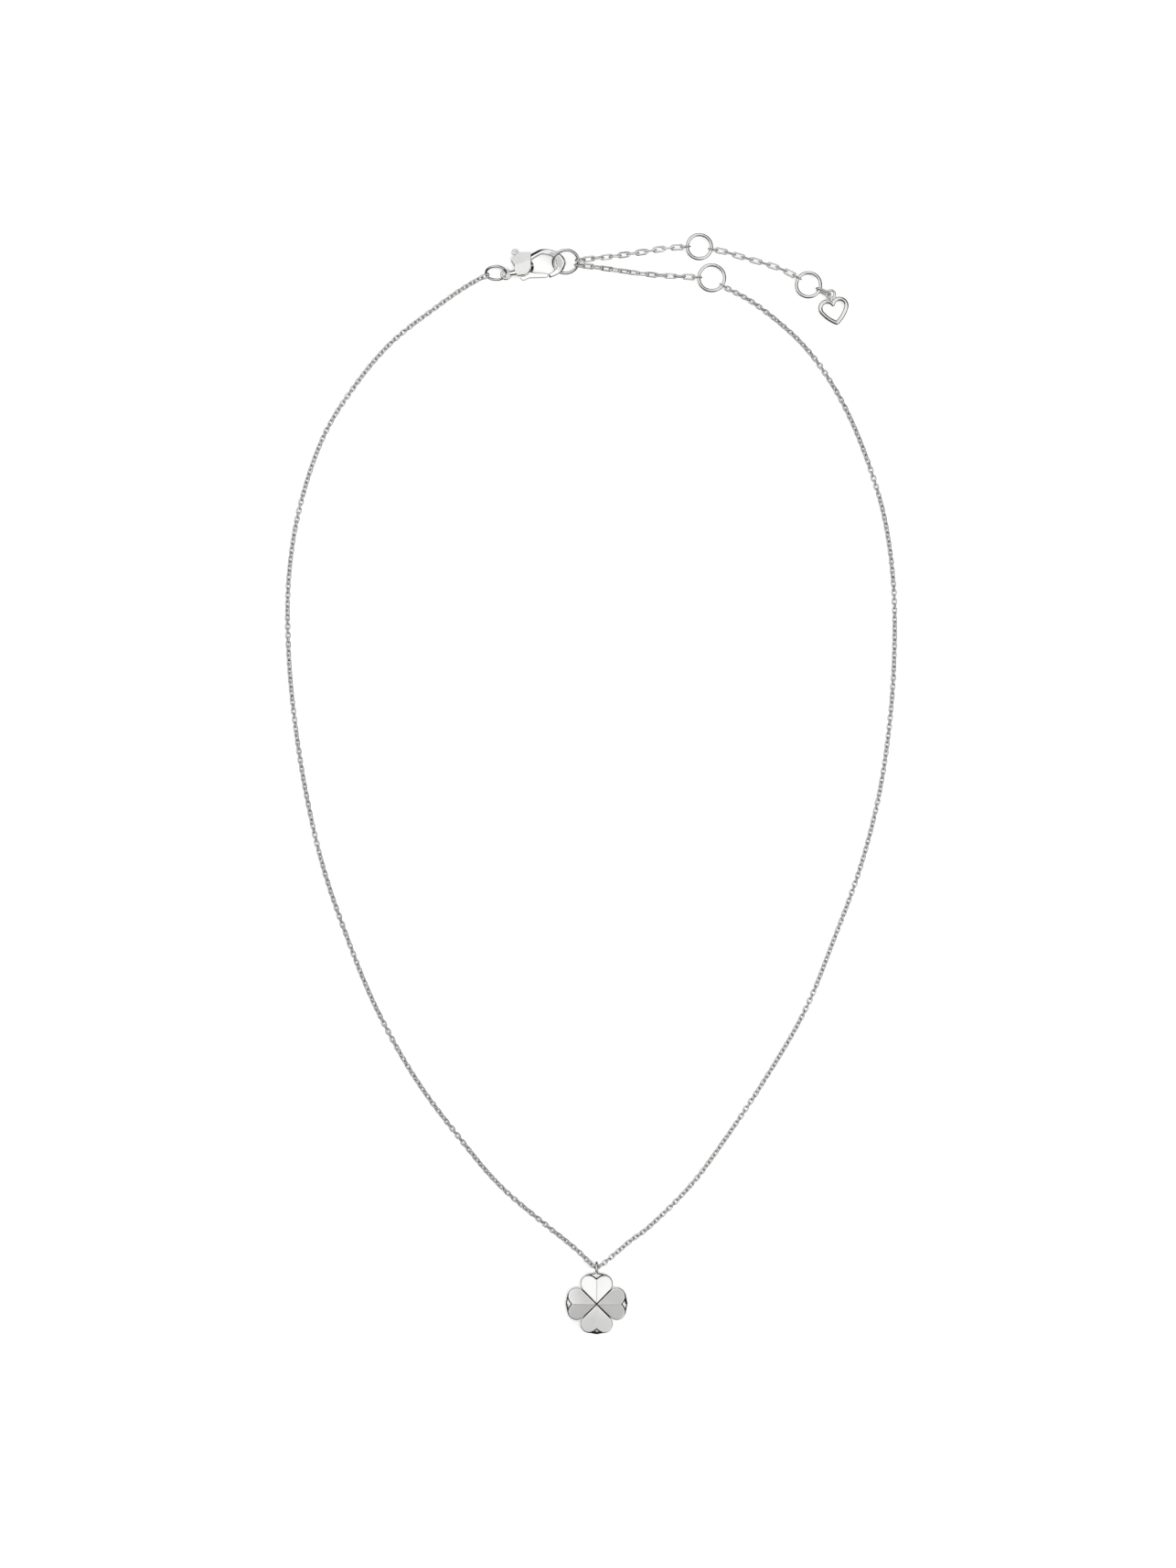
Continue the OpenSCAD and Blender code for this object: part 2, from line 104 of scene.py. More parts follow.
def dim_room():
    """A dark room with round patches of light and dark cards, each with a soft edge."""
    world = bpy.data.worlds.new("dim_room")
    world.use_nodes = True
    add = new_nodes(world.node_tree)
    link = world.node_tree.links.new
    way = add("ShaderNodeTexCoord")
    walls = add("ShaderNodeValue")
    walls.outputs[0].default_value = ROOM_LIGHT
    light = walls.outputs[0]
    for name, to, inner, outer, strength in PATCHES:
        dot = add("ShaderNodeVectorMath", operation="DOT_PRODUCT", name=name)
        dot.inputs[1].default_value = Vector(to).normalized()
        edge = add("ShaderNodeMapRange", interpolation_type="SMOOTHSTEP")
        edge.inputs["From Min"].default_value = np.cos(np.radians(outer))
        edge.inputs["From Max"].default_value = np.cos(np.radians(inner))
        over = add("ShaderNodeMix", data_type="FLOAT")
        over.inputs["B"].default_value = strength
        link(way.outputs["Generated"], dot.inputs[0])
        link(dot.outputs["Value"], edge.inputs["Value"])
        link(edge.outputs["Result"], over.inputs["Factor"])
        link(light, over.inputs["A"])
        light = over.outputs["Result"]
    glow = add("ShaderNodeBackground")
    end = add("ShaderNodeOutputWorld")
    link(light, glow.inputs["Color"])
    link(glow.outputs[0], end.inputs["Surface"])
    return world


def soft_lamp(name, place, size, power):
    """A square lamp that faces the middle of the table. It lights matt things only."""
    lamp = bpy.data.lights.new(name, "AREA")
    lamp.size = size
    lamp.energy = power
    obj = bpy.data.objects.new(name, lamp)
    obj.location = place
    obj.rotation_euler = (-obj.location).to_track_quat("-Z", "Y").to_euler()
    obj.visible_glossy = False
    bpy.context.collection.objects.link(obj)


bpy.context.scene.world = dim_room()
soft_lamp("lamp_above", (0, 0, 0.9), 0.25, 4.9)
soft_lamp("lamp_right", (0.7, -0.1, 0.45), 0.25, 3)


def table_top():
    """Matt white board, with a very faint mottle."""
    mat = bpy.data.materials.new("white_table")
    mat.use_nodes = True
    add = new_nodes(mat.node_tree)
    link = mat.node_tree.links.new
    place = add("ShaderNodeTexCoord")
    noise = add("ShaderNodeTexNoise")
    noise.inputs["Scale"].default_value = 30
    mottle = add("ShaderNodeValToRGB")
    ramp_stops(mottle, [(0.35, (0.915, 0.915, 0.91, 1)), (0.7, (0.92, 0.92, 0.916, 1))])
    board = add("ShaderNodeBsdfPrincipled")
    board.inputs["Roughness"].default_value = 0.7
    board.inputs["Specular IOR Level"].default_value = 0.15
    end = add("ShaderNodeOutputMaterial")
    link(place.outputs["Object"], noise.inputs["Vector"])
    link(noise.outputs["Fac"], mottle.inputs["Fac"])
    link(mottle.outputs["Color"], board.inputs["Base Color"])
    link(board.outputs[0], end.inputs["Surface"])
    return mat


def grid_faces(rows, cols, round_rows=False, round_cols=False):
    """Quads that join each point of a grid to the next along both parameters."""
    row = np.arange(rows if round_rows else rows - 1)
    col = np.arange(cols if round_cols else cols - 1)
    row, col = (numbers.ravel() for numbers in np.meshgrid(row, col, indexing="ij"))
    next_row = (row + 1) % rows
    next_col = (col + 1) % cols
    corners = [row * cols + col, next_row * cols + col, next_row * cols + next_col, row * cols + next_col]
    return np.stack(corners, 1)


def lathed(middle, profile, sides=64):
    """A round skin about a vertical axis; the profile is its pairs of radius and height."""
    radius, height = np.array(profile).T
    angle = np.arange(sides) * 2 * np.pi / sides
    x = middle[0] + np.outer(radius, np.cos(angle))
    y = middle[1] + np.outer(radius, np.sin(angle))
    points = np.stack([x, y, height[:, None] + 0 * x], -1).reshape(-1, 3)
    return points, grid_faces(len(radius), sides, round_cols=True)


def stage_piece(name, points, faces, material):
    """A part of the studio that metal doesn't mirror."""
    mesh = bpy.data.meshes.new(name)
    mesh.from_pydata(points.tolist(), [], faces.tolist())
    mesh.polygons.foreach_set("use_smooth", np.ones(len(faces), bool))
    mesh.materials.append(material)
    obj = bpy.data.objects.new(name, mesh)
    obj.visible_glossy = False
    bpy.context.collection.objects.link(obj)
    return obj


white_board = table_top()
corners = np.array([(-1, -1, 0), (1, -1, 0), (1, 1, 0), (-1, 1, 0)]) * TABLE_HALF
stage_piece("table_top", corners, np.array([(0, 1, 2, 3)]), white_board)

# A pale wall closes the view behind the table. It is for the eye alone: it neither lights the
# room nor shows in the metal.
bend = np.radians(np.linspace(0, 90, 13))
wall_bend = np.column_stack([WALL_FAR - WALL_BEND + WALL_BEND * np.sin(bend),
                             WALL_LOW + WALL_BEND - WALL_BEND * np.cos(bend)])
wall_profile = np.concatenate([[(WALL_FOOT, WALL_LOW)], wall_bend, [(WALL_FAR, WALL_TOP)]])
wall = stage_piece("pale_wall", *lathed((0, 0), wall_profile, 96), white_board)
wall.visible_diffuse = False
wall.visible_shadow = False

eye = bpy.data.cameras.new("camera")
eye.sensor_width = SENSOR
eye.lens = SENSOR * LENS_HEIGHT / (PHOTO_HIGH * MM_PER_PIXEL * MM)
camera = bpy.data.objects.new("camera", eye)
camera.location = ((PHOTO_MIDDLE[0] - ORIGIN_PIXEL[0]) * MM_PER_PIXEL * MM,
                   (ORIGIN_PIXEL[1] - PHOTO_MIDDLE[1]) * MM_PER_PIXEL * MM, LENS_HEIGHT)
bpy.context.collection.objects.link(camera)
bpy.context.scene.camera = camera
bpy.context.scene.view_settings.view_transform = "Standard"

# The flower: one polished silver casting. Four heart petals with a crease down the middle stand
# in front of a core and four behind it; the gaps between them are deep, with painted shade in them.
FLOWER_AT = np.array([0.9, -86.75, 1.6])
# Half a petal: the circle of its lobe, half the gap to the next petal, the notch's place on the
# crease, the heights of its middle and of its foot, and the slopes of its facet and its crease.
LOBE_R = 1.45
LOBE_MID = (3.388, 1.196)
HALF_GAP = 0.1
NOTCH_X = 4.295
PETAL_TOP = 1.6
PETAL_FOOT = 0.6
FACET_FALL = np.tan(np.radians(7))
CREASE_FALL = np.tan(np.radians(3))
# Points along half a petal's edge: on the line, round the lobe and in the notch.
LINE_POINTS = 16
LOBE_POINTS = 44
NOTCH_POINTS = 8
# The core: its half height in the middle and at the rim, how far it stands in from a lobe, its
# reach, half the width of the block behind a notch and the reach of the bar behind a gap.
CORE_H = 0.75
CORE_RIM_H = 0.12
CORE_IN = 0.12
CORE_REACH = 5.2
BLOCK_HALF = 1.675
BAR_REACH = 3.016
BAIL_D = 2.2
BAIL_WIRE = 0.42
BAIL_SUNK = 0.35
# Painted shade in the gaps between the petals: this far from a gap's middle line, below this
# height and within this radius of the flower's middle. The first two fade over the stretch beside them.
DARK_HALF = 0.135
DARK_HALF_FADE = 0.03
DARK_TOP = 1.35
DARK_TOP_FADE = 0.2
DARK_REACH = 3.6


def polished(name, shine, base, painted_shade=False):
    """Polished silver: clear reflections with hairline polishing marks and a slight haze.

    Where asked, an attribute of the piece marks its gaps; there painted shade turns the base
    colour near black, and the metal goes dull.
    """
    mat = bpy.data.materials.new(name)
    mat.use_nodes = True
    add = new_nodes(mat.node_tree)
    link = mat.node_tree.links.new
    metal = add("ShaderNodeBsdfPrincipled")
    metal.inputs["Metallic"].default_value = 1
    end = add("ShaderNodeOutputMaterial")
    place = add("ShaderNodeTexCoord")
    haze = add("ShaderNodeTexNoise")
    haze.inputs["Scale"].default_value = 420
    haze.inputs["Detail"].default_value = 3
    stretch = add("ShaderNodeMapping")
    stretch.inputs["Scale"].default_value = (1, 7, 1)
    stretch.inputs["Rotation"].default_value = (0, 0, 0.6)
    marks = add("ShaderNodeTexNoise")
    marks.inputs["Scale"].default_value = 2600
    marks.inputs["Detail"].default_value = 2
    colour = add("ShaderNodeValToRGB")
    hazy = (base[0] * 0.95, base[1] * 0.95, base[2] * 0.94, 1)
    ramp_stops(colour, [(0.3, hazy), (0.7, (*base, 1))])
    rough = add("ShaderNodeMapRange")
    rough.inputs["To Min"].default_value = shine * 0.7
    rough.inputs["To Max"].default_value = shine * 1.4
    bump = add("ShaderNodeBump")
    bump.inputs["Strength"].default_value = 0.06
    bump.inputs["Distance"].default_value = 0.00002
    link(place.outputs["Object"], haze.inputs["Vector"])
    link(place.outputs["Object"], stretch.inputs["Vector"])
    link(stretch.outputs[0], marks.inputs["Vector"])
    link(haze.outputs["Fac"], colour.inputs["Fac"])
    link(haze.outputs["Fac"], rough.inputs["Value"])
    link(marks.outputs["Fac"], bump.inputs["Height"])
    link(bump.outputs[0], metal.inputs["Normal"])
    # Painted shade: the gaps' attribute mixes the base colour towards near black.
    if painted_shade:
        depth = add("ShaderNodeAttribute", attribute_name="painted_shade")
        dark = add("ShaderNodeMixRGB")
        dark.inputs["Color2"].default_value = (0.03, 0.029, 0.028, 1)
        dull = add("ShaderNodeMapRange")
        dull.inputs["To Min"].default_value = 0.0
        dull.inputs["To Max"].default_value = 0.55
        both = add("ShaderNodeMath", operation="MAXIMUM")
        link(depth.outputs["Fac"], dark.inputs["Fac"])
        link(colour.outputs["Color"], dark.inputs["Color1"])
        link(dark.outputs["Color"], metal.inputs["Base Color"])
        link(depth.outputs["Fac"], dull.inputs["Value"])
        link(dull.outputs["Result"], both.inputs[0])
        link(rough.outputs["Result"], both.inputs[1])
        link(both.outputs[0], metal.inputs["Roughness"])
    else:
        link(colour.outputs["Color"], metal.inputs["Base Color"])
        link(rough.outputs["Result"], metal.inputs["Roughness"])
    link(metal.outputs[0], end.inputs["Surface"])
    return mat


def outward(points, faces):
    """Turns the faces round if the closed skin's signed volume says that they point inwards."""
    first, second, third = points[faces[:, 0]], points[faces[:, 1]], points[faces[:, 2]]
    volume = np.einsum("ij,ij->", first, np.cross(second, third))
    volume += np.einsum("ij,ij->", first, np.cross(third, points[faces[:, 3]]))
    return faces[:, ::-1] if volume < 0 else faces


def joined(shapes):
    """One array of points and one list of faces from several shapes.

    A shape's faces are an array, or a list where they differ in their number of corners.
    """
    start = 0
    points, faces = [], []
    for shape_points, shape_faces in shapes:
        points.append(shape_points)
        if isinstance(shape_faces, np.ndarray):
            faces += (shape_faces + start).tolist()
        else:
            faces += [[corner + start for corner in face] for face in shape_faces]
        start += len(shape_points)
    return np.concatenate(points), faces


def new_object(name, points, faces):
    """An object from points in mm and faces."""
    mesh = bpy.data.meshes.new(name)
    mesh.from_pydata((points * MM).tolist(), [], faces)
    obj = bpy.data.objects.new(name, mesh)
    bpy.context.collection.objects.link(obj)
    return obj


def smooth(mesh, crease, material):
    """Smooth shading but for edges sharper than crease degrees, and the material."""
    mesh.polygons.foreach_set("use_smooth", np.ones(len(mesh.polygons), bool))
    mesh.set_sharp_from_angle(angle=np.radians(crease))
    mesh.materials.append(material)


def stand_for(obj, body, nodes):
    """Lets an object ride on a body, in place of the named nodes."""
    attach(obj, body)
    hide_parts(*nodes)


def piece(name, skins, material, nodes, crease=32, painted_shade=None):
    """One piece from a list of closed skins, which stands for the named nodes."""
    points, faces = joined([(skin, outward(skin, skin_faces)) for skin, skin_faces in skins])
    obj = new_object(name, points, faces)
    smooth(obj.data, crease, material)
    if painted_shade is not None:
        # The painted shade mask, if given, goes on the points as an attribute.
        depth = obj.data.attributes.new("painted_shade", "FLOAT", "POINT")
        depth.data.foreach_set("value", painted_shade(points).astype(np.float32))
    obj.data.validate()
    stand_for(obj, "root", nodes)


def turned(points, degrees, mirror_z=False):
    """Points turned about Z, and mirrored through the XY plane if asked."""
    angle = np.radians(degrees)
    x, y, z = points.T
    turned_x = x * np.cos(angle) - y * np.sin(angle)
    turned_y = x * np.sin(angle) + y * np.cos(angle)
    return np.stack([turned_x, turned_y, -z if mirror_z else z], 1)


def petal_edge(inset):
    """Edge of half a petal, moved inwards by inset (one value per point).

    It runs out along the 45 degree line, round the lobe on a circle and in to the notch along
    the circle's tangent. Moving it inwards shrinks the circle and shifts both lines.
    """
    mid_x, mid_y = LOBE_MID
    from_notch = np.hypot(mid_x - NOTCH_X, mid_y)
    last = np.arctan2(mid_y, mid_x - NOTCH_X) - np.arcsin(LOBE_R / from_notch) - np.pi / 2
    line_r, lobe_r, notch_r = np.split(LOBE_R - inset, [LINE_POINTS, LINE_POINTS + LOBE_POINTS])
    share = np.linspace(0, 1, LINE_POINTS, endpoint=False)
    start_x = np.sqrt(2) * (HALF_GAP + LOBE_R - line_r)
    line_x = start_x + share * (mid_x - line_r / np.sqrt(2) - start_x)
    line_y = share * (mid_y + line_r / np.sqrt(2))
    angle = np.linspace(0.75 * np.pi, last, LOBE_POINTS, endpoint=False)
    lobe_x = mid_x + lobe_r * np.cos(angle)
    lobe_y = mid_y + lobe_r * np.sin(angle)
    share = np.linspace(0, 1, NOTCH_POINTS)
    bend_x = mid_x + notch_r * np.cos(last)
    bend_y = mid_y + notch_r * np.sin(last)
    end_x = mid_x + (notch_r + mid_y * np.sin(last)) / np.cos(last)
    notch_x = bend_x + share * (end_x - bend_x)
    notch_y = bend_y * (1 - share)
    return np.concatenate([line_x, lobe_x, notch_x]), np.concatenate([line_y, lobe_y, notch_y])


def petal(crease_fall):
    """A whole heart petal, from one rim over the crease to the other rim.

    Rows run from the crease outwards: a slim bead on the crease, the facet, which swells very
    slightly, a rolled lip, a chamfer that is widest in the notch, and the wall down to the foot.
    """
    count = LINE_POINTS + LOBE_POINTS + NOTCH_POINTS
    number = np.arange(count)
    # The lip and the chamfer widen where the lobe begins, the chamfer again towards the notch.
    at_lobe = np.clip((number - 12) / 12, 0, 1)
    at_notch = np.clip((number - 40) / 16, 0, 1)
    lip = 0.05 + 0.03 * at_lobe
    chamfer = 0.04 + 0.02 * at_lobe + 0.14 * at_notch
    rim_x, rim_y = petal_edge(lip + chamfer)
    along = np.concatenate([[0], np.cumsum(np.hypot(np.diff(rim_x), np.diff(rim_y)))])
    crease_x = rim_x[0] + (rim_x[-1] - rim_x[0]) * along / along[-1]
    bead = np.minimum(0.075, 0.4 * rim_y)

    def facet(x, y):
        swell = 0.008 * y * (2.3 - y) + (0.006 * x * (6 - x) if crease_fall else 0)
        return PETAL_TOP - x * crease_fall - y * FACET_FALL + swell

    rows = [(crease_x, 0 * crease_x, facet(crease_x, 0) + 0.4 * bead),
            (crease_x, 0.55 * bead, facet(crease_x, 0.55 * bead) + 0.3 * bead)]
    for share in (0, 0.15, 0.35, 0.55, 0.75, 0.9, 1):
        x = crease_x + (rim_x - crease_x) * share
        y = bead + (rim_y - bead) * share
        rows.append((x, y, facet(x, y)))
    for share, drop in ((0.5, 0.05), (1, 0.2)):
        x, y = petal_edge(chamfer + lip * (1 - share))
        rows.append((x, y, facet(x, y) - drop * lip))
    for share in (0.15, 0.85, 1):
        x, y = petal_edge(chamfer * (1 - share))
        rows.append((x, y, facet(x, y) - 0.2 * lip - chamfer * share))
    x, y = petal_edge(0 * lip)
    foot = 0 * x + PETAL_FOOT
    rows += [(x, y, foot), (crease_x, 0 * crease_x, foot)]
    half = np.array([np.stack(row, 1) for row in rows])
    other = half[1:-1][::-1] * [1, -1, 1]
    whole = np.concatenate([half, other])
    return whole.reshape(-1, 3), grid_faces(len(whole), count, round_rows=True)


def core():
    """The core: a disc whose edge follows the petals, its rim sloping to the middle.

    The edge's radius at each angle is the largest of the petal's lobe, the block behind the
    notch and the bar behind the gap, and never more than a blunt sixteen-sided rim.
    """
    count = 480
    angle = np.arange(count) * 2 * np.pi / count
    off = np.abs((angle + np.pi / 4) % (np.pi / 2) - np.pi / 4)
    mid_x, mid_y = LOBE_MID
    lobe_r = LOBE_R - CORE_IN
    across = mid_x * np.sin(off) - mid_y * np.cos(off)
    half_chord = np.sqrt(np.maximum(lobe_r * lobe_r - across ** 2, 0))
    lobe = np.where(np.abs(across) < lobe_r, mid_x * np.cos(off) + mid_y * np.sin(off) + half_chord, 0)
    block = np.where(np.tan(off) * CORE_REACH < BLOCK_HALF, CORE_REACH / np.cos(off),
                     BLOCK_HALF / np.maximum(np.sin(off), 0.3))
    bar = BAR_REACH / np.cos(np.pi / 4 - off)
    rim = CORE_REACH * np.cos(np.pi / 16) / np.cos(angle % (np.pi / 8) - np.pi / 16)
    edge = np.minimum(np.maximum.reduce([lobe, block, bar]), rim)
    rows = []
    for share in (0.002, 0.5, 0.8, 0.85, 0.89, 0.92, 0.95, 0.97, 0.985, 0.995, 1.0):
        out = edge * share
        fall = np.clip((out / rim - 0.84) / 0.16, 0, 1)
        height = CORE_RIM_H + (CORE_H - CORE_RIM_H) * np.sqrt(1 - fall ** 2)
        rows.append(np.stack([out * np.cos(angle), out * np.sin(angle), height], 1))
    rows = rows + [row * [1, 1, -1] for row in rows[::-1]]
    return np.concatenate(rows), grid_faces(len(rows), count, round_cols=True)


def drawn_shut(rings, path):
    """Closes a bar's two ends, each with one more ring that is drawn together on the path."""
    first = path[:1, None] + (rings[:1] - path[:1, None]) * 0.001
    last = path[-1:, None] + (rings[-1:] - path[-1:, None]) * 0.001
    return np.concatenate([first, rings, last])


def swept(path, flat, width, depth, sides, closed=True):
    """A solid bar carried along a flat path.

    At each point of the path an oval stands square to it: width across in the path's plane,
    depth along the plane's normal.
    """
    step = np.roll(path, -1, 0) - np.roll(path, 1, 0)
    if not closed:
        step[0] = path[1] - path[0]
        step[-1] = path[-1] - path[-2]
    side = np.cross(step, flat)
    side /= np.linalg.norm(side, axis=1, keepdims=True)
    angle = (np.arange(sides) + 0.5) * 2 * np.pi / sides
    half_width = np.broadcast_to(width, len(path)) / 2
    half_depth = np.broadcast_to(depth, len(path)) / 2
    rings = (path[:, None] + side[:, None] * (half_width[:, None] * np.cos(angle))[..., None]
             + flat * (half_depth[:, None] * np.sin(angle))[..., None])
    if not closed:
        rings = drawn_shut(rings, path)
    return rings.reshape(-1, 3), grid_faces(len(rings), sides, round_rows=closed, round_cols=True)


def circle(radius, angle):
    """Points of a circle in the XY plane at the given angles."""
    return np.stack([radius * np.cos(angle), radius * np.sin(angle), 0 * angle], 1)


def round_ring(outer, wire, steps=72, sides=14):
    """A plain round ring in the XY plane."""
    path = circle((outer - wire) / 2, np.arange(steps) * 2 * np.pi / steps)
    return swept(path, UP, wire, wire, sides)


def bail():
    """The ring on the flower's top, edge on to the camera."""
    points, faces = round_ring(BAIL_D, BAIL_WIRE)
    x, y, z = points.T
    return np.stack([z, y + CORE_REACH + BAIL_D / 2 - BAIL_SUNK, x], 1), faces


def bail_root():
    """A short bar that tapers from the core up to the bail."""
    way = np.linspace(4.7, 5.32, 8)
    path = np.stack([0 * way, way, 0 * way], 1)
    width = np.linspace(0.8, BAIL_WIRE - 0.02, 8)
    depth = np.linspace(0.5, BAIL_WIRE, 8)
    return swept(path, UP, width, depth, 14, closed=False)


def flower():
    """The skins of the whole casting where it lies."""
    skins = [core(), bail(), bail_root()]
    for quarter in (0, 90, 180, 270):
        for back in (False, True):
            points, faces = petal(0.0 if back else CREASE_FALL)
            skins.append((turned(points, quarter, back), faces))
    return [(points + FLOWER_AT, faces) for points, faces in skins]


def gap_painted_shade(points):
    """Painted shade: 1 deep in the four gaps between the petals, falling to 0 at the facets and outside."""
    x, y, z = np.abs(points - FLOWER_AT).T
    off = np.abs(x - y) / np.sqrt(2)
    inside = np.clip((DARK_HALF - off) / DARK_HALF_FADE, 0, 1)
    below = np.clip((DARK_TOP - z) / DARK_TOP_FADE, 0, 1)
    return inside * below * (np.hypot(x, y) < DARK_REACH)


silver = polished("polished_silver", 0.1, (0.9, 0.9, 0.89))
# The flower's silver carries painted shade in the gaps between its petals.
flower_silver = polished("flower_silver", 0.13, (0.91, 0.905, 0.895), painted_shade=True)
piece("flower_casting", flower(), flower_silver, ["flower_pendant"], 26, gap_painted_shade)

# The fine cable chain: small oval links of drawn silver wire, each turned about a quarter against
# the next. It runs in one piece through the bail. Each link is bent round and soldered.
LINK_L = 1.28
LINK_W = 0.97
LINK_WIRE = 0.26
LINK_STEP = 0.75
CHAIN_MIDDLE = (0.9, -80.6)
LEFT_ROUTE = np.array([
    (0.84, -80.67, 1.5), (0.45, -80.6, 1.5), (-0.4, -79.85, 1.35), (-2.1, -78.2, 0.9), (-4.5, -76.2, 0.52),
    (-7.3, -74, 0.44), (-14.4, -68, 0.43), (-19.8, -62, 0.43), (-28.9, -50, 0.43), (-35.7, -38, 0.43),
    (-40.7, -26, 0.43), (-44.8, -14, 0.43), (-47.6, -2, 0.43), (-49.5, 10, 0.43), (-50.6, 22, 0.43),
    (-50.6, 34, 0.43), (-48.8, 46, 0.43), (-44.8, 58, 0.43), (-39.2, 67, 0.43), (-33.2, 74, 0.43),
    (-25.5, 80, 0.43), (-21.2, 83, 0.48), (-18.85, 84.35, 0.78)])
RIGHT_ROUTE = np.array([
    (0.96, -80.67, 1.5), (1.35, -80.6, 1.5), (2.35, -79.9, 1.35), (4.2, -78.4, 0.9), (6.6, -76.4, 0.52),
    (9.8, -74, 0.44), (15.9, -68, 0.43), (20.6, -62, 0.43), (28.7, -50, 0.43), (35.7, -38, 0.43),
    (40.6, -26, 0.43), (45, -14, 0.43), (48.1, -2, 0.43), (49.9, 10, 0.43), (50.7, 22, 0.43),
    (50.5, 34, 0.43), (48.7, 46, 0.43), (44.7, 58, 0.43), (40.2, 67, 0.43), (34.9, 74, 0.43),
    (27.8, 80, 0.43), (23.1, 82.65, 0.52)])
# How many links near each end go from square to leaning, and the slow waves in the lean: each
# one's height, its turn from link to link and its start, in radians.
LEAN_LINKS = 9
LEAN_WAVES = ((0.28, 0.21, 0), (0.2, 0.47, 1))
# The larger last link of each half.
END_L = 1.6
END_W = 1.2
END_WIRE = 0.22
# The room between a ring's wire and the end of the link that holds it.
CLEAR = 0.1
# Each round ring's middle, its turn about Z and tilt about X in degrees, its outer diameter and
# its wire.
CLASP_RING = dict(at=np.array([-15.9, 85.3, 1.6]), pose=(0, 55), outer=3.8, wire=0.42)
RINGS = [dict(at=np.array([20.15, 84.6, 0.65]), pose=(0, 0), outer=4.87, wire=0.56),
         dict(at=np.array([-4.25, 87.23, 1.31]), pose=(10, 30), outer=4.7, wire=0.49),
         dict(at=np.array([18.08, 89.8, 0.66]), pose=(0, 0), outer=4.6, wire=0.56),
         dict(at=np.array([36.32, 83.42, 0.76]), pose=(-115, 3.3), outer=4.6, wire=0.56)]


def unit(vectors):
    """A vector, or each row of them, made one long."""
    return vectors / np.linalg.norm(vectors, axis=-1, keepdims=True)


def curve(points, steps):
    """Cubic through the points; the slope at each is half the step between its neighbours."""
    slope = np.empty_like(points)
    slope[1:-1] = (points[2:] - points[:-2]) / 2
    slope[0] = (points[1] - points[0]) / 2
    slope[-1] = (points[-1] - points[-2]) / 2
    t = (np.arange(steps) / steps)[None, :, None]
    start, end = points[:-1, None], points[1:, None]
    leaving, coming = slope[:-1, None], slope[1:, None]
    between = ((2 * t ** 3 - 3 * t ** 2 + 1) * start + (t ** 3 - 2 * t ** 2 + t) * leaving
               + (3 * t ** 2 - 2 * t ** 3) * end + (t ** 3 - t ** 2) * coming)
    return np.concatenate([between.reshape(-1, 3), points[-1:]])


def lengths_along(line):
    """The length along a polyline up to each of its points."""
    return np.concatenate([[0], np.cumsum(np.linalg.norm(np.diff(line, axis=0), axis=1))])


def length_of(line):
    """Length of a polyline."""
    return np.linalg.norm(np.diff(line, axis=0), axis=1).sum()


def at_length(line, where):
    """Points at the given lengths along a polyline."""
    lengths = lengths_along(line)
    return np.stack([np.interp(where, lengths, line[:, axis]) for axis in range(3)], 1)


def posed(vectors, pose):
    """Vectors tilted about X and then turned about Z: pose is (turn, tilt) in degrees."""
    turn, tilt = np.radians(pose)
    x, y, z = np.moveaxis(np.asarray(vectors, float), -1, 0)
    tilted_y = y * np.cos(tilt) - z * np.sin(tilt)
    tilted_z = y * np.sin(tilt) + z * np.cos(tilt)
    turned_x = x * np.cos(turn) - tilted_y * np.sin(turn)
    turned_y = x * np.sin(turn) + tilted_y * np.cos(turn)
    return np.stack([turned_x, turned_y, tilted_z], -1)


def on_ring(ring, degrees):
    """The point at an angle on the middle of a ring's wire, and the wire's direction there."""
    angle = np.radians(degrees)
    radius = (ring["outer"] - ring["wire"]) / 2
    place = ring["at"] + posed((radius * np.cos(angle), radius * np.sin(angle), 0), ring["pose"])
    return place, posed((-np.sin(angle), np.cos(angle), 0), ring["pose"])


def oval_link(length, width, wire, steps, sides):
    """A long link in the XY plane: two half circles, moved apart by its straight sides."""
    angle = (np.arange(steps) + 0.5) * 2 * np.pi / steps
    path = circle((width - wire) / 2, angle)
    path[:, 0] += np.sign(np.cos(angle)) * (length - width) / 2
    return swept(path, UP, wire, wire, sides)


def side_of(ways):
    """The level direction to the left of each way."""
    flat = unit(ways * [1, 1, 0])
    return np.stack([-flat[..., 1], flat[..., 0], 0 * flat[..., 0]], -1)


def laid(link, places, ways, rolls):
    """Copies of a link at each place, its length along the way and its plane rolled about it."""
    points, faces = link
    along = unit(ways)
    left = side_of(ways)
    above = np.cross(along, left)
    cos, sin = np.cos(rolls)[:, None], np.sin(rolls)[:, None]
    turn = np.stack([along, left * cos + above * sin, above * cos - left * sin], 1)
    all_points = np.einsum("pk,nkj->npj", points, turn) + places[:, None]
    all_faces = faces[None] + (np.arange(len(places)) * len(points))[:, None, None]
    return all_points.reshape(-1, 3), all_faces.reshape(-1, faces.shape[1])


def roll_to(way, wire):
    """The roll about way that turns a link's hole onto a wire's direction."""
    left = side_of(way)
    return np.arctan2(-np.dot(wire, left), np.dot(wire, np.cross(unit(way), left)))


def holding(ring, degrees, far, length, wire):
    """Place, way and roll of a link that holds a ring's wire at an angle and points to far."""
    at, along = on_ring(ring, degrees)
    way = unit(far - at)
    return at + way * (length / 2 - wire - ring["wire"] / 2 - CLEAR), way, roll_to(way, along)


